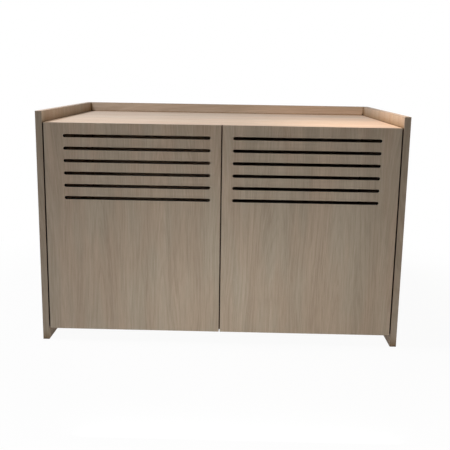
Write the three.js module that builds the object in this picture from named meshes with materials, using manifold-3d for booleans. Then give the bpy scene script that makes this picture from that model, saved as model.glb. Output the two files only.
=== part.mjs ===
// Cat litter box cabinet: a light oak laminate case that stands on its side panels, with a raised rim
// round the top, a cat entrance in the left side, a divider with a doorway, and two slotted inset doors
// on concealed cup hinges with push latches.
// Millimetres, +Z up, -Y to the front. The origin is on the floor, under the middle of the case.
import * as THREE from "three";
import { mergeVertices } from "three/addons/utils/BufferGeometryUtils.js";
import Module from "manifold-3d";

// ---- Case ----
const WIDTH = 900; // over both side panels
const DEPTH = 600; // of the side panels, front edge to back edge
const HEIGHT = 578; // floor to the top of the rim
const BOARD = 16; // thickness of every board of the case
const RIM_HEIGHT = 27; // side and back panels above the top board
const FOOT_HEIGHT = 30; // side panels below the bottom board

// ---- Cat entrance in the left side panel, and the doorway in the divider ----
const ENTRANCE_WIDTH = 180;
const ENTRANCE_HEIGHT = 220;
const ENTRANCE_SILL = 80; // floor to its lower edge
const ENTRANCE_CORNER = 30; // radius
const DOORWAY_WIDTH = 190;
const DOORWAY_HEIGHT = 260;
const DOORWAY_SILL = 80; // floor to its lower edge
const DOORWAY_CORNER = 30; // radius

// ---- Doors ----
const DOOR_BOARD = 16; // thickness of a door
const DOOR_EDGE_RADIUS = 1.5; // of its vertical edges
const SIDE_GAP = 3; // door to side panel
const CENTRE_GAP = 2.5; // door to door
const PUSH_GAP = 3; // back of a closed door to the boards' front edges

// ---- Air slots, one stack at the top of each door ----
const SLOT_COUNT = 6;
const SLOT_HEIGHT = 8;
const SLOT_PITCH = 30.3;
const SLOT_DROP = 31; // door top to the first slot's middle
const SLOT_HINGE_MARGIN = 47; // door edge to slot end, on the hinge side
const SLOT_CENTRE_MARGIN = 26; // door edge to slot end, where the doors meet

// ---- Concealed hinges: one pivot each ----
const HINGE_INSET = 80; // door end to the hinge's middle
const PIVOT_FROM_EDGE = 8; // door edge to the pivot
const PIVOT_FROM_FRONT = 7; // door front to the pivot
const PIN_RADIUS = 1.2;
const KNUCKLE_WALL = 0.7; // round the pin
const CUP_BORE_RADIUS = 17.5; // in the door
const CUP_BORE_DEPTH = 12.5;
const CUP_EDGE = 3; // door edge to the cup's bore
const CUP_WALL = 1;
const CUP_FLOOR = 0.6;
const FLANGE_RIM = 1; // flange beyond the cup's wall
const FLANGE_SHEET = 1.2;
const CUP_SCREW_SPACING = 48;
const CUP_SCREW_OFFSET = 6; // cup's middle to the screws, away from the door edge
const CUP_SCREW_EAR = 6.5; // radius of the flange round a screw
const ARM_SHEET = 1.8;
const ARM_NECK_WIDTH = 11;
const ARM_WIDTH = 17; // over the channel's side walls
const ARM_WALL_DROP = 4.8; // how far those walls reach below the web
const ARM_CLEARANCE = 0.6; // gooseneck to the door corner that turns inside it
const ARM_START = -4; // direction of the leg out of the knuckle, in degrees
const ARM_BEND_RADIUS = 2.5; // middle of the sheet
const ARM_TAPER = 6; // length over which the neck widens
const ARM_END_MARGIN = 14; // plate screws to the arm's far end
const ARM_SCREW_SETBACK = 6; // plate screws to the arm's own screw
const ARM_SLOT_REACH = 5; // half length of the slot round that screw, for setting the depth
const ARM_ADJUSTER_LEAD = 16; // plate screws to the hole for the side-setting screw
const ARM_ADJUSTER_BORE = 2.6; // radius of that hole
const PLATE_SETBACK = 37; // back of the door to the plate's screws
const PLATE_SCREW_SPACING = 32;
const PLATE_SHEET = 2;
const PLATE_EAR = 6.5; // radius of the plate round a screw
const PLATE_RIDGE_WIDTH = 11;
const PLATE_LENGTH = 38;
const PLATE_CORNER = 2.5;

// ---- Screws: radius and length of the shank, radius and rise of the head ----
const CUP_SCREW = { shank: 1.9, length: 9, head: 3.6, rise: 1.8 };
const PLATE_SCREW = { shank: 2.6, length: 11, head: 4, rise: 2 };
const ARM_SCREW = { shank: 1.9, length: 6, head: 3.6, rise: 1.8 };
const HEAD_CROWN = 0.8; // flat top of a head, as a share of its radius
const RECESS_DEPTH = 1; // of the cross in a head
const RECESS_ARM = 0.55; // half length of the cross, as a share of the head's radius
const RECESS_SLIT = 0.8; // width of an arm of the cross

// ---- Cam locks between the side panels and the top and bottom boards ----
const CAM_RADIUS = 7.5; // bore in the board
const CAM_DEPTH = 12.5;
const CAM_FROM_END = 34; // board end to the cam's middle
const CAM_FROM_EDGE = 50; // board's front or back edge to the cam's middle
const CAM_SLIT = 1.6;
const CAM_SLIT_LENGTH = 9;
const CAM_SLIT_DEPTH = 2.5;
const CAM_BOLT_RADIUS = 3.4;
const CAM_BOLT_BORE = 4; // radius, in the board's end
const CAM_THREAD_RADIUS = 2.6;
const CAM_THREAD_LENGTH = 11; // in the side panel

// ---- Push latches under the top board ----
const LATCH_WIDTH = 14;
const LATCH_HEIGHT = 13;
const LATCH_LENGTH = 76;
const LATCH_CORNER = 3; // radius of its lower edges
const LATCH_SETBACK = 3; // boards' front edges to the housing
const LATCH_FROM_DIVIDER = 1;
const LATCH_TRAVEL = 22;
const PLUNGER_RADIUS = 4;
const PLUNGER_HELD = 14; // length still in the housing when it is all the way out
const PLUNGER_CAP_RADIUS = 5;
const PLUNGER_CAP = 3; // thickness of its front cap
const STRIKE_WIDTH = 12;
const STRIKE_HEIGHT = 20;
const STRIKE_SHEET = 1.2;
const STRIKE_CORNER = 2;
const STRIKE_PEG_RADIUS = 2.4;
const STRIKE_PEG_LENGTH = 7;

// ---- Fits and facets ----
const SEAT = 0.2; // gap between hardware and what carries it
const RUNNING_GAP = 0.3; // gap round a pin or plunger that moves
const PAST = 1; // how far a cutter runs past the face that it opens
const ROUND_STEPS = 32; // facets round a cup
const SMALL_STEPS = 16; // facets round a cam, knuckle or plunger
const PIN_STEPS = 10; // facets round a screw, bolt or pin
const CORNER_STEPS = 4; // facets in a small rounded corner
const BEND_STEPS = 10; // facets in an entrance's corner or a gooseneck

// ---- Places that follow from the sizes ----
const FRONT = -DEPTH / 2;
const BACK = DEPTH / 2;
const INNER_HALF = WIDTH / 2 - BOARD; // case middle to a side panel's inner face
const TOP_SURFACE = HEIGHT - RIM_HEIGHT;
const TOP_UNDERSIDE = TOP_SURFACE - BOARD;
const FLOOR_SURFACE = FOOT_HEIGHT + BOARD;
const BOARDS_FRONT = FRONT + DOOR_BOARD + PUSH_GAP;
const BOARDS_BACK = BACK - BOARD;
const DOOR_WIDTH = INNER_HALF - SIDE_GAP - CENTRE_GAP / 2;
const DOOR_BACK = DOOR_BOARD - PIVOT_FROM_FRONT; // behind the pivot
const PIVOT_X = INNER_HALF - SIDE_GAP - PIVOT_FROM_EDGE; // from the case's middle
const PIVOT_Y = FRONT + PIVOT_FROM_FRONT;
const PANEL_FACE = -PIVOT_FROM_EDGE - SIDE_GAP; // side panel's inner face, from the pivot
const CUP_X = CUP_EDGE + CUP_BORE_RADIUS - PIVOT_FROM_EDGE; // cup's middle, from the pivot
const CUP_RADIUS = CUP_BORE_RADIUS - SEAT;
const CUP_CAVITY = CUP_RADIUS - CUP_WALL;
const FLANGE_BASE = DOOR_BACK + SEAT;
const FLANGE_TOP = FLANGE_BASE + FLANGE_SHEET;
const PLATE_SCREW_Y = DOOR_BACK + PLATE_SETBACK; // behind the pivot
const PLATE_BASE = PANEL_FACE + SEAT;
const PLATE_TOP = PLATE_BASE + PLATE_SHEET;
const ARM_INNER = Math.hypot(PIVOT_FROM_EDGE, DOOR_BACK) + ARM_CLEARANCE;
const ARM_MIDDLE = ARM_INNER + ARM_SHEET / 2;
const WEB_FRONT = ARM_MIDDLE + ARM_BEND_RADIUS; // where the arm's straight web starts
const WEB_LOW = -ARM_BEND_RADIUS - ARM_SHEET / 2; // web's face towards the side panel
const WEB_HIGH = WEB_LOW + ARM_SHEET;
const ARM_END = PLATE_SCREW_Y + ARM_END_MARGIN;
const ARM_SCREW_Y = PLATE_SCREW_Y + ARM_SCREW_SETBACK;
const LATCH_X = BOARD / 2 + LATCH_FROM_DIVIDER + LATCH_WIDTH / 2; // from the case's middle
const LATCH_Z = TOP_UNDERSIDE - LATCH_HEIGHT / 2;
const LATCH_FRONT = BOARDS_FRONT + LATCH_SETBACK;
const STRIKE_FACE = FRONT + DOOR_BOARD + SEAT + STRIKE_SHEET;
const HINGE_LEVELS = {
  upper: TOP_SURFACE - HINGE_INSET,
  lower: FOOT_HEIGHT + HINGE_INSET,
};
const CAM_ROWS = {
  front: BOARDS_FRONT + CAM_FROM_EDGE,
  back: BOARDS_BACK - CAM_FROM_EDGE,
};
const BOARD_LEVELS = { top: TOP_UNDERSIDE, bottom: FOOT_HEIGHT };

// ---- Finishes ----
const finish = (color, roughness, metalness) =>
  new THREE.MeshStandardMaterial({ color, roughness, metalness });
const OAK = finish(0xc2ad96, 0.62, 0);
const NICKEL = finish(0xb9bbbd, 0.32, 1);
const ZINC = finish(0x9fa3a6, 0.45, 1);
const STEEL = finish(0xc9cbcc, 0.3, 1);
const GREY_PLASTIC = finish(0xb4b4b0, 0.5, 0);
const WHITE_PLASTIC = finish(0xe4e3de, 0.45, 0);

// ---- Solids ----
const wasm = await Module();
wasm.setup();
const WELD = 1e-4; // corners closer than this are one

// A closed three.js geometry as a solid that can be joined and cut.
function solidOf(geometry) {
  const bare = geometry.clone();
  bare.deleteAttribute("normal");
  bare.deleteAttribute("uv");
  const welded = mergeVertices(bare, WELD);
  const corners = welded.index.array;
  const faces = [];
  for (let i = 0; i < corners.length; i += 3) {
    const [a, b, c] = corners.slice(i, i + 3);
    if (a !== b && b !== c && c !== a) faces.push(a, b, c);
  }
  return new wasm.Manifold(
    new wasm.Mesh({
      numProp: 3,
      vertProperties: welded.getAttribute("position").array,
      triVerts: new Uint32Array(faces),
    }),
  );
}

function geometryOf(solid) {
  const mesh = solid.getMesh();
  const geometry = new THREE.BufferGeometry();
  geometry.setAttribute("position", new THREE.BufferAttribute(mesh.vertProperties, 3));
  geometry.setIndex(new THREE.BufferAttribute(mesh.triVerts, 1));
  return geometry;
}

const join = (first, ...others) => others.reduce((whole, piece) => whole.add(piece), first);
const cut = (body, ...tools) => tools.reduce((left, tool) => left.subtract(tool), body);

// Points along an arc, angles in degrees.
function arc(u, v, radius, from, to, steps = CORNER_STEPS) {
  return Array.from({ length: steps + 1 }, (_, i) => {
    const turn = THREE.MathUtils.degToRad(from + ((to - from) * i) / steps);
    return new THREE.Vector2(u + radius * Math.cos(turn), v + radius * Math.sin(turn));
  });
}

function circle(u, v, radius, steps) {
  return arc(u, v, radius, 0, 360, steps).slice(0, steps);
}

// A rectangle with rounded corners, whose lower two can have a radius of their own.
function roundedRectangle(u0, u1, v0, v1, radius, steps = CORNER_STEPS, lower = radius) {
  return [
    ...arc(u0 + lower, v0 + lower, lower, 180, 270, steps),
    ...arc(u1 - lower, v0 + lower, lower, 270, 360, steps),
    ...arc(u1 - radius, v1 - radius, radius, 0, 90, steps),
    ...arc(u0 + radius, v1 - radius, radius, 90, 180, steps),
  ];
}

// How an outline's point (u, v), and the share t from low to high, turn into x, y and z.
const PLACED = {
  x: (u, v, t, low, high) => [low + t * (high - low), u, v],
  y: (u, v, t, low, high) => [u, high + t * (low - high), v],
  z: (u, v, t, low, high) => [u, v, low + t * (high - low)],
};

// An outline extruded along an axis: drawn in y, z along x, in x, z along y, and in x, y along z.
function prism(points, axis, low, high) {
  const apart = points.filter((p, i) => p.distanceTo(points[(i + 1) % points.length]) > WELD);
  const geometry = new THREE.ExtrudeGeometry(new THREE.Shape(apart), {
    depth: 1,
    bevelEnabled: false,
  });
  const position = geometry.getAttribute("position");
  for (let i = 0; i < position.count; i++) {
    const [u, v, t] = [position.getX(i), position.getY(i), position.getZ(i)];
    position.setXYZ(i, ...PLACED[axis](u, v, t, low, high));
  }
  return solidOf(geometry);
}

const slab = (x0, x1, y0, y1, z0, z1) =>
  prism([[x0, y0], [x1, y0], [x1, y1], [x0, y1]].map((p) => new THREE.Vector2(...p)), "z", z0, z1);
const rod = (axis, u, v, radius, low, high, steps = SMALL_STEPS) =>
  prism(circle(u, v, radius, steps), axis, low, high);

// A profile of [radius, height] pairs turned round the Y axis, from the axis back to the axis.
function turned(profile, steps) {
  const points = profile.map(([radius, height]) => new THREE.Vector2(radius, height));
  return solidOf(new THREE.LatheGeometry(points, steps));
}

// ---- Boards of the case ----
// The opening that a cat goes through, along X and in the middle of the depth.
function entrance(width, height, sill, corner, low, high) {
  const outline = roundedRectangle(-width / 2, width / 2, sill, sill + height, corner, BEND_STEPS);
  return prism(outline, "x", low, high);
}

// Holes in a side panel's inner face for the hinge plates' screws and the cam locks' bolts.
function sidePanelHoles(side) {
  const hole = (y, z, radius, depth) => {
    const [near, far] = [side * (INNER_HALF - PAST), side * (INNER_HALF + depth)];
    return rod("x", y, z, radius + SEAT, Math.min(near, far), Math.max(near, far), PIN_STEPS);
  };
  const screws = Object.values(HINGE_LEVELS).flatMap((level) =>
    [-1, 1].map((way) =>
      hole(
        PIVOT_Y + PLATE_SCREW_Y,
        level + (way * PLATE_SCREW_SPACING) / 2,
        PLATE_SCREW.shank,
        PLATE_SCREW.length,
      ),
    ),
  );
  const bolts = Object.values(BOARD_LEVELS).flatMap((underside) =>
    Object.values(CAM_ROWS).map((y) =>
      hole(y, underside + BOARD / 2, CAM_THREAD_RADIUS, CAM_THREAD_LENGTH + SEAT),
    ),
  );
  return [...screws, ...bolts];
}

function sidePanel(side) {
  const [inner, outer] = [side * INNER_HALF, (side * WIDTH) / 2];
  const [low, high] = [Math.min(inner, outer), Math.max(inner, outer)];
  return cut(slab(low, high, FRONT, BACK, 0, HEIGHT), ...sidePanelHoles(side));
}

function leftSidePanel() {
  const opening = entrance(
    ENTRANCE_WIDTH,
    ENTRANCE_HEIGHT,
    ENTRANCE_SILL,
    ENTRANCE_CORNER,
    -WIDTH / 2 - PAST,
    -INNER_HALF + PAST,
  );
  return cut(sidePanel(-1), opening);
}

// The top or bottom board: four cams come in from its underside, and their bolts from its ends.
function levelBoard(underside) {
  const board = slab(-INNER_HALF, INNER_HALF, BOARDS_FRONT, BOARDS_BACK, underside, underside + BOARD);
  const bores = Object.values(CAM_ROWS).flatMap((y) =>
    [-1, 1].flatMap((side) => {
      const [cam, end] = [side * (INNER_HALF - CAM_FROM_END), side * (INNER_HALF + PAST)];
      return [
        rod("z", cam, y, CAM_RADIUS, underside - PAST, underside + CAM_DEPTH),
        rod(
          "x",
          y,
          underside + BOARD / 2,
          CAM_BOLT_BORE,
          Math.min(cam, end),
          Math.max(cam, end),
          PIN_STEPS,
        ),
      ];
    }),
  );
  return cut(board, ...bores);
}

const backPanel = () => slab(-INNER_HALF, INNER_HALF, BOARDS_BACK, BACK, FOOT_HEIGHT, HEIGHT);

function divider() {
  const half = BOARD / 2;
  return cut(
    slab(-half, half, BOARDS_FRONT, BOARDS_BACK, FLOOR_SURFACE, TOP_UNDERSIDE),
    entrance(DOORWAY_WIDTH, DOORWAY_HEIGHT, DOORWAY_SILL, DOORWAY_CORNER, -half - PAST, half + PAST),
  );
}

// ---- Cam lock: the cam in its board, holding the bolt that screws into the side panel ----
// Its origin is the middle of its bore's mouth, and the side panel lies towards -X.
function camLock() {
  const radius = CAM_RADIUS - SEAT;
  const slit = (dx, dy) => slab(-dx / 2, dx / 2, -dy / 2, dy / 2, -PAST, CAM_SLIT_DEPTH);
  const cam = cut(
    rod("z", 0, 0, radius, SEAT, CAM_DEPTH - SEAT),
    slit(CAM_SLIT_LENGTH, CAM_SLIT),
    slit(CAM_SLIT, CAM_SLIT_LENGTH),
  );
  const middle = BOARD / 2;
  const bolt = rod("x", 0, middle, CAM_BOLT_RADIUS, -CAM_FROM_END + SEAT, -radius / 2, PIN_STEPS);
  const thread = rod(
    "x",
    0,
    middle,
    CAM_THREAD_RADIUS,
    -CAM_FROM_END - CAM_THREAD_LENGTH,
    -CAM_FROM_END + SEAT,
    PIN_STEPS,
  );
  return join(cam, bolt, thread);
}

// ---- Door, from its pivot: +X to its free edge ----
function doorPanel() {
  const left = -PIVOT_FROM_EDGE;
  const right = left + DOOR_WIDTH;
  const plan = roundedRectangle(left, right, -PIVOT_FROM_FRONT, DOOR_BACK, DOOR_EDGE_RADIUS);
  const slots = Array.from({ length: SLOT_COUNT }, (_, i) => {
    const middle = TOP_SURFACE - SLOT_DROP - i * SLOT_PITCH;
    const outline = roundedRectangle(
      left + SLOT_HINGE_MARGIN,
      right - SLOT_CENTRE_MARGIN,
      middle - SLOT_HEIGHT / 2,
      middle + SLOT_HEIGHT / 2,
      SLOT_HEIGHT / 2,
    );
    return prism(outline, "y", -PIVOT_FROM_FRONT - PAST, DOOR_BACK + PAST);
  });
  const cupBores = Object.values(HINGE_LEVELS).flatMap((level) => [
    rod("y", CUP_X, level, CUP_BORE_RADIUS, DOOR_BACK - CUP_BORE_DEPTH, DOOR_BACK + PAST, ROUND_STEPS),
    ...[-1, 1].map((way) =>
      rod(
        "y",
        CUP_X + CUP_SCREW_OFFSET,
        level + (way * CUP_SCREW_SPACING) / 2,
        CUP_SCREW.shank + SEAT,
        FLANGE_TOP - CUP_SCREW.length - SEAT,
        DOOR_BACK + PAST,
        PIN_STEPS,
      ),
    ),
  ]);
  const pegBore = rod(
    "y",
    PIVOT_X - LATCH_X,
    LATCH_Z,
    STRIKE_PEG_RADIUS + SEAT,
    DOOR_BACK - STRIKE_PEG_LENGTH - SEAT,
    DOOR_BACK + PAST,
    PIN_STEPS,
  );
  return cut(prism(plan, "z", FOOT_HEIGHT, TOP_SURFACE), ...slots, ...cupBores, pegBore);
}

// The plate on the door's back that the latch's plunger holds and pushes, with its peg.
function strike() {
  const x = PIVOT_X - LATCH_X;
  const outline = roundedRectangle(
    x - STRIKE_WIDTH / 2,
    x + STRIKE_WIDTH / 2,
    LATCH_Z - STRIKE_HEIGHT / 2,
    LATCH_Z + STRIKE_HEIGHT / 2,
    STRIKE_CORNER,
  );
  const base = DOOR_BACK + SEAT;
  return join(
    prism(outline, "y", base, base + STRIKE_SHEET),
    rod(
      "y",
      x,
      LATCH_Z,
      STRIKE_PEG_RADIUS,
      DOOR_BACK - STRIKE_PEG_LENGTH,
      base + STRIKE_SHEET / 2,
      PIN_STEPS,
    ),
  );
}

// ---- Hinge, from its pivot: +X to the door's free edge, +Y into the case, +Z up ----
function hingeCup() {
  const floor = DOOR_BACK - CUP_BORE_DEPTH + SEAT;
  const screwX = CUP_X + CUP_SCREW_OFFSET;
  const reach = CUP_SCREW_SPACING / 2 + CUP_SCREW_EAR;
  const ears = roundedRectangle(
    screwX - CUP_SCREW_EAR,
    screwX + CUP_SCREW_EAR,
    -reach,
    reach,
    CUP_SCREW_EAR,
  );
  const shell = join(
    rod("y", CUP_X, 0, CUP_RADIUS, floor, FLANGE_TOP, ROUND_STEPS),
    rod("y", CUP_X, 0, CUP_RADIUS + FLANGE_RIM, FLANGE_BASE, FLANGE_TOP, ROUND_STEPS),
    prism(ears, "y", FLANGE_BASE, FLANGE_TOP),
  );
  const holes = [-1, 1].map((way) =>
    rod(
      "y",
      screwX,
      (way * CUP_SCREW_SPACING) / 2,
      CUP_SCREW.shank + SEAT,
      FLANGE_BASE - PAST,
      FLANGE_TOP + PAST,
      PIN_STEPS,
    ),
  );
  const cavity = rod("y", CUP_X, 0, CUP_CAVITY, floor + CUP_FLOOR, FLANGE_TOP + PAST, ROUND_STEPS);
  return cut(shell, cavity, ...holes);
}

// The pin crosses the cup on a chord, and its ends meet the cup's wall.
function hingePin() {
  const half = Math.sqrt(CUP_CAVITY ** 2 - (CUP_X + PIN_RADIUS) ** 2) - SEAT;
  return rod("z", 0, 0, PIN_RADIUS, -half, half, PIN_STEPS);
}

// The arm: a knuckle on the pin, a leg, a gooseneck that the door's corner turns inside, and a channel
// over the mounting plate's ridge.
function hingeArm() {
  const neck = ARM_NECK_WIDTH / 2;
  const outer = ARM_INNER + ARM_SHEET;
  const bend = ARM_BEND_RADIUS;
  const gooseneck = prism(
    [
      ...arc(0, 0, outer, ARM_START, 90, BEND_STEPS),
      ...arc(0, WEB_FRONT, bend - ARM_SHEET / 2, 270, 180),
      new THREE.Vector2(WEB_HIGH, WEB_FRONT + ARM_TAPER),
      new THREE.Vector2(WEB_LOW, WEB_FRONT + ARM_TAPER),
      ...arc(0, WEB_FRONT, bend + ARM_SHEET / 2, 180, 270),
      ...arc(0, 0, ARM_INNER, 90, ARM_START, BEND_STEPS),
    ],
    "z",
    -neck,
    neck,
  );
  const knuckleRadius = PIN_RADIUS + RUNNING_GAP + KNUCKLE_WALL;
  const knuckle = rod("z", 0, 0, knuckleRadius, -neck, neck);
  const turn = THREE.MathUtils.degToRad(ARM_START);
  const along = new THREE.Vector2(Math.cos(turn), Math.sin(turn));
  const across = new THREE.Vector2(-along.y, along.x).multiplyScalar(ARM_SHEET / 2);
  const legEnd = (distance, way) =>
    along.clone().multiplyScalar(distance).addScaledVector(across, way);
  const legStart = PIN_RADIUS + RUNNING_GAP + KNUCKLE_WALL / 2;
  const leg = prism(
    [
      legEnd(legStart, -1),
      legEnd(ARM_INNER + ARM_SHEET, -1),
      legEnd(ARM_INNER + ARM_SHEET, 1),
      legEnd(legStart, 1),
    ],
    "z",
    -neck,
    neck,
  );
  const pinBore = rod("z", 0, 0, PIN_RADIUS + RUNNING_GAP, -neck - PAST, neck + PAST, PIN_STEPS);
  const half = ARM_WIDTH / 2;
  const taperEnd = WEB_FRONT + ARM_TAPER;
  const web = prism(
    [
      new THREE.Vector2(WEB_FRONT, -neck),
      new THREE.Vector2(taperEnd, -half),
      ...arc(ARM_END - ARM_TAPER, -half + ARM_TAPER, ARM_TAPER, 270, 360),
      ...arc(ARM_END - ARM_TAPER, half - ARM_TAPER, ARM_TAPER, 0, 90),
      new THREE.Vector2(taperEnd, half),
      new THREE.Vector2(WEB_FRONT, neck),
    ],
    "x",
    WEB_LOW,
    WEB_HIGH,
  );
  const walls = [-1, 1].map((way) => {
    const [inside, outside] = [way * (half - ARM_SHEET / 2), way * half];
    return slab(
      WEB_LOW - ARM_WALL_DROP,
      WEB_HIGH,
      taperEnd,
      ARM_END - ARM_TAPER,
      Math.min(inside, outside),
      Math.max(inside, outside),
    );
  });
  const slotHalf = ARM_SCREW.shank + SEAT;
  const slotOutline = roundedRectangle(
    ARM_SCREW_Y - ARM_SLOT_REACH,
    ARM_SCREW_Y + ARM_SLOT_REACH,
    -slotHalf,
    slotHalf,
    slotHalf,
  );
  const depthSlot = prism(slotOutline, "x", WEB_LOW - PAST, WEB_HIGH + PAST);
  const adjusterHole = rod(
    "x",
    PLATE_SCREW_Y - ARM_ADJUSTER_LEAD,
    0,
    ARM_ADJUSTER_BORE,
    WEB_LOW - PAST,
    WEB_HIGH + PAST,
    PIN_STEPS,
  );
  return cut(join(gooseneck, knuckle, leg, web, ...walls), pinBore, depthSlot, adjusterHole);
}

// The mounting plate: ears on the side panel, and a ridge that the arm's channel sits over.
function mountingPlate() {
  const ear = PLATE_SCREW_SPACING / 2 + PLATE_EAR;
  const ridgeHalf = PLATE_RIDGE_WIDTH / 2;
  const from = ARM_END - PLATE_LENGTH;
  const ridgeTop = WEB_LOW - SEAT;
  const ears = roundedRectangle(
    PLATE_SCREW_Y - PLATE_EAR,
    PLATE_SCREW_Y + PLATE_EAR,
    -ear,
    ear,
    PLATE_EAR,
  );
  const ridge = roundedRectangle(from, ARM_END, -ridgeHalf, ridgeHalf, PLATE_CORNER);
  const holes = [-1, 1].map((way) =>
    rod(
      "x",
      PLATE_SCREW_Y,
      (way * PLATE_SCREW_SPACING) / 2,
      PLATE_SCREW.shank + SEAT,
      PLATE_BASE - PAST,
      PLATE_TOP + PAST,
      PIN_STEPS,
    ),
  );
  const armScrewHole = rod(
    "x",
    ARM_SCREW_Y,
    0,
    ARM_SCREW.shank + SEAT,
    PLATE_BASE - PAST,
    ridgeTop + PAST,
    PIN_STEPS,
  );
  const body = join(prism(ears, "x", PLATE_BASE, PLATE_TOP), prism(ridge, "x", PLATE_BASE, ridgeTop));
  return cut(body, ...holes, armScrewHole);
}

// A pan head screw along Y: its head sits on y = 0, and its shank points to -Y.
function screw({ shank, length, head, rise }) {
  const body = turned(
    [
      [0, -length],
      [shank / 2, -length],
      [shank, -length + shank],
      [shank, 0],
      [head, 0],
      [head, rise / 2],
      [head * HEAD_CROWN, rise],
      [0, rise],
    ],
    PIN_STEPS,
  );
  const reach = head * RECESS_ARM;
  const slit = RECESS_SLIT / 2;
  const floor = rise - RECESS_DEPTH;
  return cut(
    body,
    slab(-reach, reach, floor, rise + PAST, -slit, slit),
    slab(-slit, slit, floor, rise + PAST, -reach, reach),
  );
}

// ---- Push latch, in the case's frame, on the left of the divider ----
function latchHousing() {
  const half = LATCH_WIDTH / 2;
  const section = roundedRectangle(
    -LATCH_X - half,
    -LATCH_X + half,
    TOP_UNDERSIDE - LATCH_HEIGHT,
    TOP_UNDERSIDE,
    0,
    CORNER_STEPS,
    LATCH_CORNER,
  );
  const boreEnd = LATCH_FRONT + PLUNGER_HELD + LATCH_TRAVEL + RUNNING_GAP;
  return cut(
    prism(section, "y", LATCH_FRONT, LATCH_FRONT + LATCH_LENGTH),
    rod("y", -LATCH_X, LATCH_Z, PLUNGER_RADIUS + RUNNING_GAP, LATCH_FRONT - PAST, boreEnd),
  );
}

function plunger() {
  const tip = STRIKE_FACE + SEAT;
  return join(
    rod("y", -LATCH_X, LATCH_Z, PLUNGER_RADIUS, tip, LATCH_FRONT + PLUNGER_HELD + LATCH_TRAVEL),
    rod("y", -LATCH_X, LATCH_Z, PLUNGER_CAP_RADIUS, tip, tip + PLUNGER_CAP),
  );
}

// ---- Assembly ----
function part(name, geometry, material, parent) {
  const mesh = new THREE.Mesh(geometry, material);
  mesh.name = name;
  parent.add(mesh);
  return mesh;
}

// A group that holds the pieces of one side, drawn for the left: side 1 mirrors it to the right.
function sideGroup(side, x, y, parent) {
  const group = new THREE.Group();
  group.position.set(side * x, y, 0);
  group.scale.x = -side;
  parent.add(group);
  return group;
}

const UP_THE_SCREW = new THREE.Vector3(0, 1, 0);
const screwGeometries = {
  cup: geometryOf(screw(CUP_SCREW)),
  plate: geometryOf(screw(PLATE_SCREW)),
  arm: geometryOf(screw(ARM_SCREW)),
};
function addScrew(name, kind, place, outward, parent) {
  const mesh = part(name, screwGeometries[kind], kind === "cup" ? STEEL : ZINC, parent);
  mesh.position.set(...place);
  mesh.quaternion.setFromUnitVectors(UP_THE_SCREW, outward);
}

const hingeGeometries = {
  cup: geometryOf(hingeCup()),
  pin: geometryOf(hingePin()),
  arm: geometryOf(hingeArm()),
  plate: geometryOf(mountingPlate()),
};

// The hinge's half that turns with the door.
function addHingeCup(prefix, level, door) {
  part(`${prefix}_cup`, hingeGeometries.cup, NICKEL, door).position.z = level;
  part(`${prefix}_pin`, hingeGeometries.pin, STEEL, door).position.z = level;
  for (const [place, way] of [["high", 1], ["low", -1]]) {
    const z = level + (way * CUP_SCREW_SPACING) / 2;
    const seat = [CUP_X + CUP_SCREW_OFFSET, FLANGE_TOP + SEAT, z];
    addScrew(`${prefix}_cup_screw_${place}`, "cup", seat, new THREE.Vector3(0, 1, 0), door);
  }
}

// The hinge's half that stays on the side panel.
function addHingeArm(prefix, level, carrier) {
  const inward = new THREE.Vector3(1, 0, 0);
  part(`${prefix}_arm`, hingeGeometries.arm, NICKEL, carrier).position.z = level;
  part(`${prefix}_plate`, hingeGeometries.plate, NICKEL, carrier).position.z = level;
  addScrew(`${prefix}_arm_screw`, "arm", [WEB_HIGH + SEAT, ARM_SCREW_Y, level], inward, carrier);
  for (const [place, way] of [["high", 1], ["low", -1]]) {
    const z = level + (way * PLATE_SCREW_SPACING) / 2;
    const seat = [PLATE_TOP + SEAT, PLATE_SCREW_Y, z];
    addScrew(`${prefix}_plate_screw_${place}`, "plate", seat, inward, carrier);
  }
}

const cabinet = new THREE.Group();
part("left_side_panel", geometryOf(leftSidePanel()), OAK, cabinet);
part("right_side_panel", geometryOf(sidePanel(1)), OAK, cabinet);
part("top_board", geometryOf(levelBoard(TOP_UNDERSIDE)), OAK, cabinet);
part("bottom_board", geometryOf(levelBoard(FOOT_HEIGHT)), OAK, cabinet);
part("back_panel", geometryOf(backPanel()), OAK, cabinet);
part("divider", geometryOf(divider()), OAK, cabinet);

const doorGeometry = geometryOf(doorPanel());
const strikeGeometry = geometryOf(strike());
const housingGeometry = geometryOf(latchHousing());
const plungerGeometry = geometryOf(plunger());
const camGeometry = geometryOf(camLock());

for (const [hand, side] of [["left", -1], ["right", 1]]) {
  const door = sideGroup(side, PIVOT_X, PIVOT_Y, cabinet);
  part(`${hand}_door`, doorGeometry, OAK, door);
  part(`${hand}_strike`, strikeGeometry, STEEL, door);

  const carrier = sideGroup(side, PIVOT_X, PIVOT_Y, cabinet);
  for (const [place, level] of Object.entries(HINGE_LEVELS)) {
    addHingeCup(`${hand}_${place}_hinge`, level, door);
    addHingeArm(`${hand}_${place}_hinge`, level, carrier);
  }

  const latch = sideGroup(side, 0, 0, cabinet);
  part(`${hand}_latch_housing`, housingGeometry, GREY_PLASTIC, latch);
  part(`${hand}_latch_plunger`, plungerGeometry, WHITE_PLASTIC, latch);

  const cams = sideGroup(side, INNER_HALF - CAM_FROM_END, 0, cabinet);
  for (const [board, underside] of Object.entries(BOARD_LEVELS)) {
    for (const [row, y] of Object.entries(CAM_ROWS)) {
      part(`${hand}_${board}_${row}_cam_lock`, camGeometry, ZINC, cams).position.set(0, y, underside);
    }
  }
}

export default cabinet;
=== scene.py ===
import math

import bmesh
import bpy
from mathutils import Matrix, Vector


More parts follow.
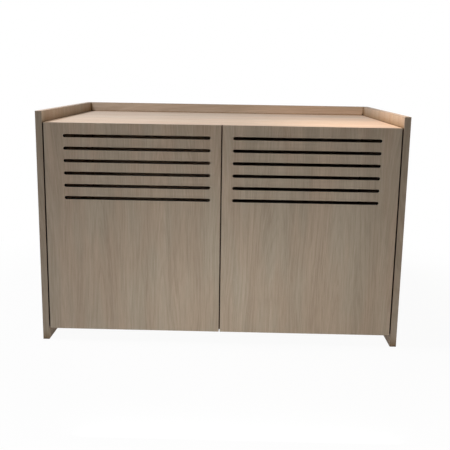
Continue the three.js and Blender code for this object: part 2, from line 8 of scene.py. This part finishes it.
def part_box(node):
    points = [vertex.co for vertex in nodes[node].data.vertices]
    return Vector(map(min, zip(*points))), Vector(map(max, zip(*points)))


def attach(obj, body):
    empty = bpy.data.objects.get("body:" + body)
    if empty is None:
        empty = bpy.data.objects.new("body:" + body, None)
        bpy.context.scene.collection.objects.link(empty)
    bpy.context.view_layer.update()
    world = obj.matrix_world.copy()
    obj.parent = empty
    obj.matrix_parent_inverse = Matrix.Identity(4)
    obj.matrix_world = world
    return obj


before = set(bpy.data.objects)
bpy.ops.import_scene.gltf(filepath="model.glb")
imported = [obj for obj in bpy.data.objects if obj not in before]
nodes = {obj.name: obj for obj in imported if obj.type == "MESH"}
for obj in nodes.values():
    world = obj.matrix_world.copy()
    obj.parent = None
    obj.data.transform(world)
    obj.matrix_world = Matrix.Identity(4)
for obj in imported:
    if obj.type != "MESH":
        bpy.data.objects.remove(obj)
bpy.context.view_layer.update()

MM = 0.001
AXES = "xyz"
WHITE = (1, 1, 1, 1)

# ---- Camera: the photograph's viewing angle ----
CAMERA_PLACE = (0.0428, -2.0182, 0.6658)
CAMERA_YAW = 1.066  # degrees to the left
CAMERA_PITCH = 11.78  # degrees down
CAMERA_ROLL = 0.9175  # degrees
CAMERA_LENS = 57.0  # millimetres
CAMERA_SENSOR = 36.0  # millimetres wide

# ---- Light ----
# Each soft lamp: where it is, what it points at, its width and depth, its watts and its colour.
LAMPS = {
    "key": ((-1.2, -0.3, 2.2), (0, -0.1, 0.5), (0.3, 0.3), 33, (233, 240, 255)),
    "over_left": ((-0.35, -0.3, 1.0), (-0.35, -0.2, 0.5), (0.5, 0.2), 1.3, (255, 240, 225)),
    "over_right": ((0.3, -0.22, 0.9), (0.48, -0.2, 0.5), (0.2, 0.15), 1.7, (255, 226, 198)),
    "front_floor": ((0.05, -0.8, 0.03), (0.05, -0.3, 0.12), (0.6, 0.06), 0.62, (246, 255, 252)),
    "front_low": ((0, -1.1, 0.1), (0, 0, 0.1), (0.5, 0.3), 0.5, (244, 252, 255)),
    "right_low": ((2.2, 0, 0.3), (0, 0, 0.25), (1.2, 0.4), 11, (255, 246, 236)),
    "back_low": ((0, 2.2, 0.3), (0, 0, 0.25), (1.6, 0.4), 9, (255, 250, 244)),
}
AMBIENT = 0.10  # of the room's light, where white is 1

# ---- Floor ----
FLOOR_SIZE = 12
FLOOR_DROP = 0.0005  # below the feet, so that the two faces don't coincide
FLOOR_COLOUR = (236, 234, 230)
FLOOR_ROUGHNESS = 0.9
FLOOR_PLAIN = 0.95  # share of the floor's picture that is plain white: the rest shows the shadow
FLOOR_FADE = (0.6, 1.2)  # distance from the middle at which the shadow starts and ends fading

# ---- Oak laminate (millimetres) ----
OAK_PALE = (200, 181, 160)
OAK_DEEP = (174, 154, 133)
OAK_WARM = (1.03, 0.99, 0.97, 1)  # the two tones that its tint drifts between
OAK_COOL = (0.985, 1.002, 1.0, 1)
OAK_ROUGHNESS = (0.55, 0.65)  # between the print's lines and on them
OAK_SPECULAR = 0.35
END_FACING = 0.7  # how squarely a face has to look along the grain to be a board's end

HEART_SPACING = 150  # between the lines where the cut passes the heart of the tree
HEART_DEPTH = 6  # of the heart behind the face, where it comes closest
HEART_TAPER = 0.05  # how fast it goes deeper along the grain
TAPER_LENGTH = 700  # over which it goes deeper, before it comes back
SWAY = 70  # how far the lines wander across the grain

# Each texture of the print: how long and wide its features are, the layer of the noise that keeps it
# apart from the others, its detail and its roughness.
TEXTURES = {
    "sway": (600, 90, 3.5, 1, 0.5),
    "line": (160, 2.6, 11.5, 2, 0.6),
    "band": (420, 34, 1.5, 2, 0.5),
    "tint": (260, 42, 5.5, 1, 0.5),
    "fibre": (40, 2.0, 7.5, 2, 0.5),
    "pore": (9, 0.4, 9.5, 1, 0.5),
}
# The values of its noise between which a texture goes from none to all of its effect.
EFFECT = {
    "line": (0.40, 0.66),
    "band": (0.35, 0.65),
    "tint": (0.35, 0.65),
    "fibre": (0.3, 0.7),
    "pore": (0.6, 0.72),
}
# How much each texture deepens the oak's tone: their sum goes from OAK_PALE at 0 to OAK_DEEP at 1.
DEEPENING = {"line": 0.34, "band": 0.30, "fibre": 0.34, "pore": 0.5}
# The embossed print: how deep it is, and the heights of its pores and lines as shares of that.
PRINT_DEPTH = 0.05
PORE_HEIGHT = -1.0
LINE_HEIGHT = -0.3

EDGE_BAND = 1.0  # thickness of the banding on a board's edges
EDGE_TONE = (0.78, 0.78, 0.78, 1)

# Painted shade, darkened into the oak's colour: how near another board has to be to shade this one,
# the
# painted tone where it is darkest, and the shares of open air at which it is darkest and plain:
# in a gap, and in the corners of the feet and rims.
GAP_SHADE = (9, 0.02, (0.35, 0.75))
CORNER_SHADE = (42, 0.35, (0.4, 0.9))
SHADED_CORNERS = ("left_side_panel", "right_side_panel")
SHADE_WARMTH = (0.75, 1.0, 1.45)  # powers of the painted shade in red, green and blue, which turn it warmer as it deepens
SHADE_SAMPLES = 8

# ---- Air slots in the doors, whose walls are coloured near black ----
SLOT_BLACK = (7, 5, 4)
SLOT_ROUGHNESS = 0.9
SLOT_ZONE_TOP = 0.008  # below the door's top, and above the highest slot
SLOT_ZONE_BOTTOM = 0.195  # below the door's top, and below the lowest slot
SLOT_HINGE_SIDE = 0.042  # from the door's edge, short of the slots' ends
SLOT_FREE_SIDE = 0.021
SLOT_WALL_START = 0.0004  # behind the door's faces

# ---- Metal and plastic (millimetres) ----
# Each metal: its bright and dull shades, the roughness of each, and its grain's size and height.
METALS = {
    "nickel_steel": ((205, 203, 198), (178, 176, 171), (0.24, 0.34), 0.5, 0.004),
    "screw_steel": ((214, 213, 210), (186, 185, 182), (0.22, 0.32), 0.3, 0.004),
    "strike_steel": ((200, 199, 196), (170, 169, 166), (0.3, 0.42), 0.4, 0.006),
    "zinc": ((182, 184, 186), (150, 152, 155), (0.38, 0.5), 0.8, 0.01),
}
# Each plastic: its pale and deep shades and its roughness.
PLASTICS = {
    "grey_plastic": ((182, 182, 178), (168, 168, 164), 0.42),
    "white_plastic": ((228, 227, 222), (215, 214, 209), 0.38),
}
METAL_CLOUD = 14  # size of the drifts of its shade
METAL_GLOSS = 0.12  # how much its grain changes its roughness
PLASTIC_CLOUD = 18
PLASTIC_GLOSS = 0.1
SPARK_SIZE = 0.35  # of the spark-eroded texture on moulded plastic
SPARK_HEIGHT = 0.02
CLOUD_EFFECT = (0.3, 0.7)  # values of its noise between which a shade goes from one to the other

# ---- Mesh finish (millimetres) ----
SMOOTH_UP_TO = 40  # degrees
WELD_REACH = 0.005
EASED_EDGE = 0.4  # on the boards
EASED_SEGMENTS = 2

# ---- Side-setting screws of the hinges (millimetres) ----
# Each is a grub screw in its hinge arm's hole. Its back is flush with the arm's face beside the plate,
# and its front, with a cross recess, faces the middle of the cabinet.
HINGES = ("left_upper_hinge", "left_lower_hinge", "right_upper_hinge", "right_lower_hinge")
PLATE_CLEARANCE = 0.2  # between the plate and the arm
ADJUSTER_LEAD = 16  # from the plate's screws forwards to this one
ADJUSTER_LENGTH = 2.4
ADJUSTER_RADIUS = 2.3
ADJUSTER_CHAMFER = 0.3
RECESS_ARM = 1.45  # half length of the cross
RECESS_HALF = 0.39  # half width of its arms
RECESS_DEPTH = 1.2
RECESS_TAPER = 0.75  # the cross at the bottom, where the same at the face is 1
RIM_POINTS = 24  # of each outline
TINY = 1e-6  # keeps a division off zero


def levels(red, green, blue):
    """A colour in 8-bit sRGB levels, as a picture shows it, in the linear values that sockets take."""
    shares = [level / 255 for level in (red, green, blue)]
    return [((s + 0.055) / 1.055) ** 2.4 if s > 0.04045 else s / 12.92 for s in shares] + [1]


class Graph:
    """The shader nodes of one tree. A value is a number, a tuple or another node's output."""

    def __init__(self, owner):
        owner.use_nodes = True
        self.tree = owner.node_tree

    def feed(self, socket, value):
        if isinstance(value, bpy.types.NodeSocket):
            self.tree.links.new(value, socket)
        else:
            socket.default_value = value

    def node(self, kind, inputs=(), output=0, **settings):
        """The output of a new node, with its inputs fed by name or number."""
        made = self.tree.nodes.new("ShaderNode" + kind)
        for name, value in settings.items():
            setattr(made, name, value)
        for key, value in dict(inputs).items():
            self.feed(made.inputs[key], value)
        return made.outputs[output]

    def math(self, operation, *values):
        return self.node("Math", enumerate(values), operation=operation)

    def vector(self, *values):
        return self.node("CombineXYZ", enumerate(values))

    def place(self, output="Object"):
        """The place of a point on the piece, or where it faces, by axis."""
        made = self.tree.nodes.new("ShaderNodeSeparateXYZ")
        self.feed(made.inputs[0], self.node("TexCoord", output=output))
        return dict(zip(AXES, made.outputs))

    def noise(self, vector, detail, roughness=0.5):
        inputs = {"Vector": vector, "Scale": 1, "Detail": detail, "Roughness": roughness}
        return self.node("TexNoise", inputs)

    def solid_noise(self, size, detail):
        """Noise through the whole piece, with features of about that size in millimetres."""
        place = self.node("TexCoord", output="Object")
        inputs = {0: place, "Scale": 1 / (size * MM)}
        scaled = self.node("VectorMath", inputs, operation="SCALE")
        return self.noise(scaled, detail)

    def spread(self, value, low, high, to_low=0, to_high=1):
        """value's range from low to high, eased onto the range from to_low to to_high."""
        inputs = {0: value, 1: low, 2: high, 3: to_low, 4: to_high}
        return self.node("MapRange", inputs, interpolation_type="SMOOTHSTEP")

    def inside(self, value, low, high):
        """1 where value lies between low and high, else 0."""
        above = self.math("GREATER_THAN", value, low)
        below = self.math("LESS_THAN", value, high)
        return self.math("MULTIPLY", above, below)

    def mix(self, factor, first, second, blend="MIX"):
        """A colour between two, which are at this node's inputs 6 and 7, with its output at 2."""
        inputs = {0: factor, 6: first, 7: second}
        return self.node("Mix", inputs, output=2, data_type="RGBA", blend_type=blend)

    def toned(self, colour, tone):
        return self.mix(1.0, colour, tone, "MULTIPLY")

    def choose(self, factor, first, second):
        """A number between two, which are at the same node's inputs 2 and 3."""
        inputs = {0: factor, 2: first, 3: second}
        return self.node("Mix", inputs, data_type="FLOAT")

    def white_to_the_eye(self):
        """1 for rays from the camera, from gloss and through glass, which see a white backdrop."""
        made = self.tree.nodes.new("ShaderNodeLightPath")
        seen = made.outputs["Is Camera Ray"]
        for name in ("Is Glossy Ray", "Is Transmission Ray"):
            seen = self.math("MAXIMUM", seen, made.outputs[name])
        return seen


class Finish(Graph):
    """A material, with its shader and its output."""

    def __init__(self, name):
        self.material = bpy.data.materials.new(name)
        super().__init__(self.material)
        self.shader = self.tree.nodes["Principled BSDF"]
        self.output = self.tree.nodes["Material Output"]

    def bump(self, height, distance):
        inputs = {"Height": height, "Distance": distance}
        self.feed(self.shader.inputs["Normal"], self.node("Bump", inputs))

    def finish(self, colour, roughness, metallic=0.0):
        self.feed(self.shader.inputs["Base Color"], colour)
        self.feed(self.shader.inputs["Roughness"], roughness)
        self.shader.inputs["Metallic"].default_value = metallic
        return self.material


# ---- Oak laminate ----
# Each board: the axis of its grain, the axis that its broad faces look along, where its print starts
# in millimetres, and on a door the side of its hinges.
BOARDS = {
    "left_side_panel": ("z", "x", 130),
    "right_side_panel": ("z", "x", 2210),
    "top_board": ("x", "z", 3370),
    "bottom_board": ("x", "z", 4150),
    "back_panel": ("x", "y", 5290),
    "divider": ("z", "x", 6530),
    "left_door": ("z", "y", 7010, "left"),
    "right_door": ("z", "y", 8380, "right"),
}


def grain_plane(graph, grain, face, shift):
    """Millimetres along and across the printed grain, on a board's faces, edges and ends."""
    side = next(axis for axis in AXES if axis not in (grain, face))
    place = {axis: graph.math("MULTIPLY", value, 1 / MM) for axis, value in graph.place().items()}
    facing = graph.math("ABSOLUTE", graph.place("Normal")[grain])
    end = graph.math("GREATER_THAN", facing, END_FACING)
    width = graph.math("ADD", place[side], place[face])
    along = graph.choose(end, place[grain], place[side])
    across = graph.choose(end, width, graph.math("ADD", place[face], shift))
    return graph.math("ADD", along, shift), graph.math("ADD", across, shift)


def texture(graph, name, along, across):
    """The noise of one texture, stretched along the grain."""
    length, width, layer, detail, roughness = TEXTURES[name]
    place = [graph.math("DIVIDE", across, width), graph.math("DIVIDE", along, length), layer]
    return graph.noise(graph.vector(*place), detail, roughness)


def effect(graph, name, along, across):
    """One texture from 0, where it does nothing, to 1."""
    return graph.spread(texture(graph, name, along, across), *EFFECT[name])


def heart_distance(graph, along, across):
    """Distance from the nearest heart of the tree: its equal values draw the grain's arches."""
    swayed = graph.math("MULTIPLY_ADD", texture(graph, "sway", along, across), SWAY, across)
    beside = graph.math("PINGPONG", swayed, HEART_SPACING / 2)
    deeper = graph.math("PINGPONG", along, TAPER_LENGTH)
    behind = graph.math("MULTIPLY_ADD", deeper, HEART_TAPER, HEART_DEPTH)
    square = graph.math("MULTIPLY", behind, behind)
    return graph.math("SQRT", graph.math("MULTIPLY_ADD", beside, beside, square))


def oak_print(graph, along, across):
    """The colour and roughness of the printed oak, and its embossed pores and lines."""
    parts = {name: effect(graph, name, along, across) for name in ("band", "fibre", "pore")}
    parts["line"] = effect(graph, "line", along, heart_distance(graph, along, across))
    parts["pore"] = graph.math("MULTIPLY", parts["pore"], parts["line"])  # open on the lines only
    depth = 0.0
    for name, weight in DEEPENING.items():
        depth = graph.math("MULTIPLY_ADD", parts[name], weight, depth)
    height = graph.math("MULTIPLY", parts["line"], LINE_HEIGHT)
    graph.bump(graph.math("MULTIPLY_ADD", parts["pore"], PORE_HEIGHT, height), PRINT_DEPTH * MM)
    drift = graph.mix(effect(graph, "tint", along, across), OAK_WARM, OAK_COOL)
    colour = graph.toned(graph.mix(depth, levels(*OAK_PALE), levels(*OAK_DEEP)), drift)
    return colour, graph.choose(parts["line"], *OAK_ROUGHNESS)


def edge_banding(graph, face, low, high):
    """1 on the banding round a board, which shows as a thin frame on its broad faces, else 0."""
    place = graph.place()
    margin = EDGE_BAND * MM
    covered = 1.0
    for axis, first, last in zip(AXES, low, high):
        if axis != face:
            between = graph.inside(place[axis], first + margin, last - margin)
            covered = graph.math("MULTIPLY", covered, between)
    return graph.math("SUBTRACT", 1.0, covered)


def shaded(graph, reach, darkest, shares):
    """Painted shade: 1 on a surface that nothing stands near, down to the darkest tone deep in a gap
    or corner.
    """
    inputs = {"Distance": reach * MM}
    openness = graph.node("AmbientOcclusion", inputs, output=1, samples=SHADE_SAMPLES)
    return graph.spread(openness, *shares, darkest)


def board_shade(graph, name):
    """Painted shade of a board in its gaps, and in its corners if it has shaded ones, warmer as it
    deepens.
    """
    shade = shaded(graph, *GAP_SHADE)
    if name in SHADED_CORNERS:
        shade = graph.math("MULTIPLY", shade, shaded(graph, *CORNER_SHADE))
    return graph.vector(*[graph.math("POWER", shade, power) for power in SHADE_WARMTH])


def slot_walls(graph, hinge_side, low, high):
    """1 on the walls of a door's air slots, else 0."""
    place = graph.place()
    margins = {"left": SLOT_FREE_SIDE, "right": SLOT_FREE_SIDE, hinge_side: SLOT_HINGE_SIDE}
    wide = graph.inside(place["x"], low.x + margins["left"], high.x - margins["right"])
    deep = graph.inside(place["y"], low.y + SLOT_WALL_START, high.y - SLOT_WALL_START)
    tall = graph.inside(place["z"], high.z - SLOT_ZONE_BOTTOM, high.z - SLOT_ZONE_TOP)
    return graph.math("MULTIPLY", graph.math("MULTIPLY", wide, deep), tall)


def oak(name, grain, face, shift, hinge_side=None):
    """Printed oak on one board, whose grain runs along one axis and whose faces look along another."""
    graph = Finish(name)
    low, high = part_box(name)
    colour, roughness = oak_print(graph, *grain_plane(graph, grain, face, shift))
    banding = edge_banding(graph, face, low, high)
    colour = graph.mix(banding, colour, graph.toned(colour, EDGE_TONE))
    # Painted shade darkens the oak's colour in its gaps and corners.
    colour = graph.toned(colour, board_shade(graph, name))
    if hinge_side:
        # The walls of the air slots are coloured near black and made rough.
        blackened_walls = slot_walls(graph, hinge_side, low, high)
        colour = graph.mix(blackened_walls, colour, levels(*SLOT_BLACK))
        roughness = graph.choose(blackened_walls, roughness, SLOT_ROUGHNESS)
    graph.shader.inputs["Specular IOR Level"].default_value = OAK_SPECULAR
    return graph.finish(colour, roughness)


# ---- Metal and plastic ----
def metal(name, bright, dull, roughness, grain_size, grain_height):
    """A plated or turned metal: its shade and gloss drift, and a fine grain breaks its highlights."""
    graph = Finish(name)
    shade = graph.spread(graph.solid_noise(METAL_CLOUD, detail=3), *CLOUD_EFFECT)
    grain = graph.solid_noise(grain_size, detail=2)
    gloss = graph.math("MULTIPLY_ADD", grain, METAL_GLOSS, graph.choose(shade, *roughness))
    graph.bump(grain, grain_height * MM)
    return graph.finish(graph.mix(shade, levels(*bright), levels(*dull)), gloss, metallic=1.0)


def plastic(name, pale, deep, roughness):
    """Moulded plastic with a fine spark-eroded texture."""
    graph = Finish(name)
    shade = graph.spread(graph.solid_noise(PLASTIC_CLOUD, detail=2), *CLOUD_EFFECT)
    spark = graph.solid_noise(SPARK_SIZE, detail=1)
    gloss = graph.math("MULTIPLY_ADD", spark, PLASTIC_GLOSS, roughness)
    graph.bump(spark, SPARK_HEIGHT * MM)
    return graph.finish(graph.mix(shade, levels(*pale), levels(*deep)), gloss)


FINISHES = {name: metal(name, *row) for name, row in METALS.items()}
FINISHES.update({name: plastic(name, *row) for name, row in PLASTICS.items()})


# ---- Dressing the nodes ----
def weld_and_shade(limit):
    """Geometry nodes that join a mesh's loose triangles and smooth its angles up to a limit."""
    group = bpy.data.node_groups.new("weld_and_shade", "GeometryNodeTree")
    for way in ("INPUT", "OUTPUT"):
        group.interface.new_socket("Mesh", in_out=way, socket_type="NodeSocketGeometry")
    start = group.nodes.new("NodeGroupInput")
    weld = group.nodes.new("GeometryNodeMergeByDistance")
    weld.inputs["Distance"].default_value = WELD_REACH * MM
    angle = group.nodes.new("GeometryNodeInputMeshEdgeAngle")
    sharp = group.nodes.new("FunctionNodeCompare")
    sharp.operation = "GREATER_THAN"
    sharp.inputs["B"].default_value = math.radians(limit)
    shade = group.nodes.new("GeometryNodeSetMeshNormal")
    shade.inputs["Remove Custom"].default_value = True
    end = group.nodes.new("NodeGroupOutput")
    for source, target in (
        (start.outputs[0], weld.inputs["Geometry"]),
        (weld.outputs[0], shade.inputs["Mesh"]),
        (angle.outputs["Unsigned Angle"], sharp.inputs["A"]),
        (sharp.outputs[0], shade.inputs["Edge Sharpness"]),
        (shade.outputs[0], end.inputs[0]),
    ):
        group.links.new(source, target)
    return group


def dress(node, material, shading):
    node.data.materials.clear()
    node.data.materials.append(material)
    node.modifiers.new("weld_and_shade", "NODES").node_group = shading


def ease_edges(node, width):
    bevel = node.modifiers.new("eased_edges", "BEVEL")
    bevel.width = width * MM
    bevel.segments = EASED_SEGMENTS
    bevel.limit_method = "ANGLE"
    bevel.angle_limit = math.radians(SMOOTH_UP_TO)
    bevel.harden_normals = True


def dress_nodes():
    shading = weld_and_shade(SMOOTH_UP_TO)
    for name, node in nodes.items():
        if name in BOARDS:
            dress(node, oak(name, *BOARDS[name]), shading)
            ease_edges(node, EASED_EDGE)
        else:
            slot = node.data.materials[0].name.split(".")[0]  # without a number that Blender adds
            dress(node, FINISHES[slot], shading)


# ---- Side-setting screws of the hinges ----
def rim_angles():
    return [2 * math.pi * step / RIM_POINTS for step in range(RIM_POINTS)]


def round_rim(radius):
    return [(radius * math.cos(angle), radius * math.sin(angle)) for angle in rim_angles()]


def cross_rim(scale):
    """The outline of a cross, at the same angles as the round outlines."""
    rim = []
    for angle in rim_angles():
        folded = angle % (math.pi / 2)
        folded = min(folded, math.pi / 2 - folded)
        tip = RECESS_ARM / math.cos(folded)
        side = RECESS_HALF / max(math.sin(folded), TINY)
        rim.append([scale * min(tip, side) * part for part in (math.cos(angle), math.sin(angle))])
    return rim


def adjuster_rims():
    """The screw's outlines, each at its distance from the back, over the front into the recess."""
    return [
        (0, round_rim(ADJUSTER_RADIUS)),
        (ADJUSTER_LENGTH - ADJUSTER_CHAMFER, round_rim(ADJUSTER_RADIUS)),
        (ADJUSTER_LENGTH, round_rim(ADJUSTER_RADIUS - ADJUSTER_CHAMFER)),
        (ADJUSTER_LENGTH, cross_rim(1)),
        (ADJUSTER_LENGTH - RECESS_DEPTH, cross_rim(RECESS_TAPER)),
    ]


def adjuster_seat(hinge):
    """The middle of a screw's back, in metres, and the sign of the way to the cabinet's middle."""
    plate_low, plate_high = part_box(hinge + "_plate")
    screw_low, screw_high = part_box(hinge + "_plate_screw_low")
    inward = 1 if plate_high.x < 0 else -1
    face = plate_high.x if plate_high.x < 0 else plate_low.x
    x = face + inward * PLATE_CLEARANCE * MM
    y = (screw_low.y + screw_high.y) / 2 - ADJUSTER_LEAD * MM
    z = (plate_low.z + plate_high.z) / 2
    return Vector((x, y, z)), inward


def adjuster_mesh(name, seat, inward):
    """A closed mesh: walls from each outline to the next, and fans over the first and the last."""
    solid = bmesh.new()

    def point(distance, y, z):
        return solid.verts.new(seat + Vector((inward * distance, y, z)) * MM)

    rims = adjuster_rims()
    rings = [[point(distance, y, z) for y, z in rim] for distance, rim in rims]
    steps = [(here, (here + 1) % RIM_POINTS) for here in range(RIM_POINTS)]
    for first, second in zip(rings, rings[1:]):
        for here, after in steps:
            solid.faces.new((first[here], first[after], second[after], second[here]))
    for end in (0, -1):
        middle = point(rims[end][0], 0, 0)
        for here, after in steps:
            solid.faces.new((rings[end][here], rings[end][after], middle))
    bmesh.ops.recalc_face_normals(solid, faces=solid.faces)
    mesh = bpy.data.meshes.new(name)
    solid.to_mesh(mesh)
    solid.free()
    return mesh


def make_adjusters():
    for hinge in HINGES:
        name = hinge + "_adjuster"
        mesh = adjuster_mesh(name, *adjuster_seat(hinge))
        mesh.materials.append(FINISHES["screw_steel"])
        piece = bpy.data.objects.new(name, mesh)
        bpy.context.collection.objects.link(piece)
        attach(piece, "case")


# ---- Stage ----
def floor_material():
    """A pale floor with a faint shadow near the object, which fades into the white backdrop."""
    graph = Finish("floor")
    graph.finish(levels(*FLOOR_COLOUR), FLOOR_ROUGHNESS)
    graph.shader.inputs["Specular IOR Level"].default_value = 0.0
    place = graph.place()
    flat = graph.vector(place["x"], place["y"], 0)
    distance = graph.node("VectorMath", {0: flat}, output=1, operation="LENGTH")
    plain = graph.spread(distance, *FLOOR_FADE, FLOOR_PLAIN, 1.0)
    share = graph.math("MULTIPLY", plain, graph.white_to_the_eye())
    white = graph.node("Emission", {"Color": WHITE, "Strength": 1.0})
    mixed = graph.node("MixShader", {0: share, 1: graph.shader.outputs[0], 2: white})
    graph.feed(graph.output.inputs["Surface"], mixed)
    return graph.material


def make_floor():
    half = FLOOR_SIZE / 2
    corners = ((-half, -half), (half, -half), (half, half), (-half, half))
    mesh = bpy.data.meshes.new("floor")
    mesh.from_pydata([(x, y, -FLOOR_DROP) for x, y in corners], [], [range(4)])
    mesh.materials.append(floor_material())
    floor = bpy.data.objects.new("floor", mesh)
    bpy.context.collection.objects.link(floor)


def make_world():
    """A room of even light, whose backdrop the camera sees as white."""
    world = bpy.data.worlds.new("studio")
    bpy.context.scene.world = world
    graph = Graph(world)
    room = graph.node("Background", {"Color": WHITE, "Strength": AMBIENT})
    white = graph.node("Background", {"Color": WHITE, "Strength": 1.0})
    mixed = graph.node("MixShader", {0: graph.white_to_the_eye(), 1: room, 2: white})
    graph.feed(graph.tree.nodes["World Output"].inputs["Surface"], mixed)


def make_lamps():
    for name, (place, target, (width, depth), power, colour) in LAMPS.items():
        light = bpy.data.lights.new(name, "AREA")
        light.shape = "RECTANGLE"
        light.size = width
        light.size_y = depth
        light.energy = power
        light.color = levels(*colour)[:3]
        lamp = bpy.data.objects.new(name, light)
        lamp.location = place
        aim = Vector(target) - Vector(place)
        lamp.rotation_euler = aim.to_track_quat("-Z", "Y").to_euler()
        lamp.visible_camera = False
        bpy.context.collection.objects.link(lamp)


def make_camera():
    data = bpy.data.cameras.new("camera")
    data.lens = CAMERA_LENS
    data.sensor_width = CAMERA_SENSOR
    camera = bpy.data.objects.new("camera", data)
    bpy.context.collection.objects.link(camera)
    turned = Matrix.Rotation(math.radians(CAMERA_YAW), 4, "Z")
    tilted = Matrix.Rotation(math.radians(90 - CAMERA_PITCH), 4, "X")
    rolled = Matrix.Rotation(math.radians(CAMERA_ROLL), 4, "Z")
    camera.matrix_world = Matrix.Translation(CAMERA_PLACE) @ turned @ tilted @ rolled
    bpy.context.scene.camera = camera


make_camera()
dress_nodes()
make_adjusters()
make_floor()
make_world()
make_lamps()
bpy.context.scene.view_settings.view_transform = "Standard"
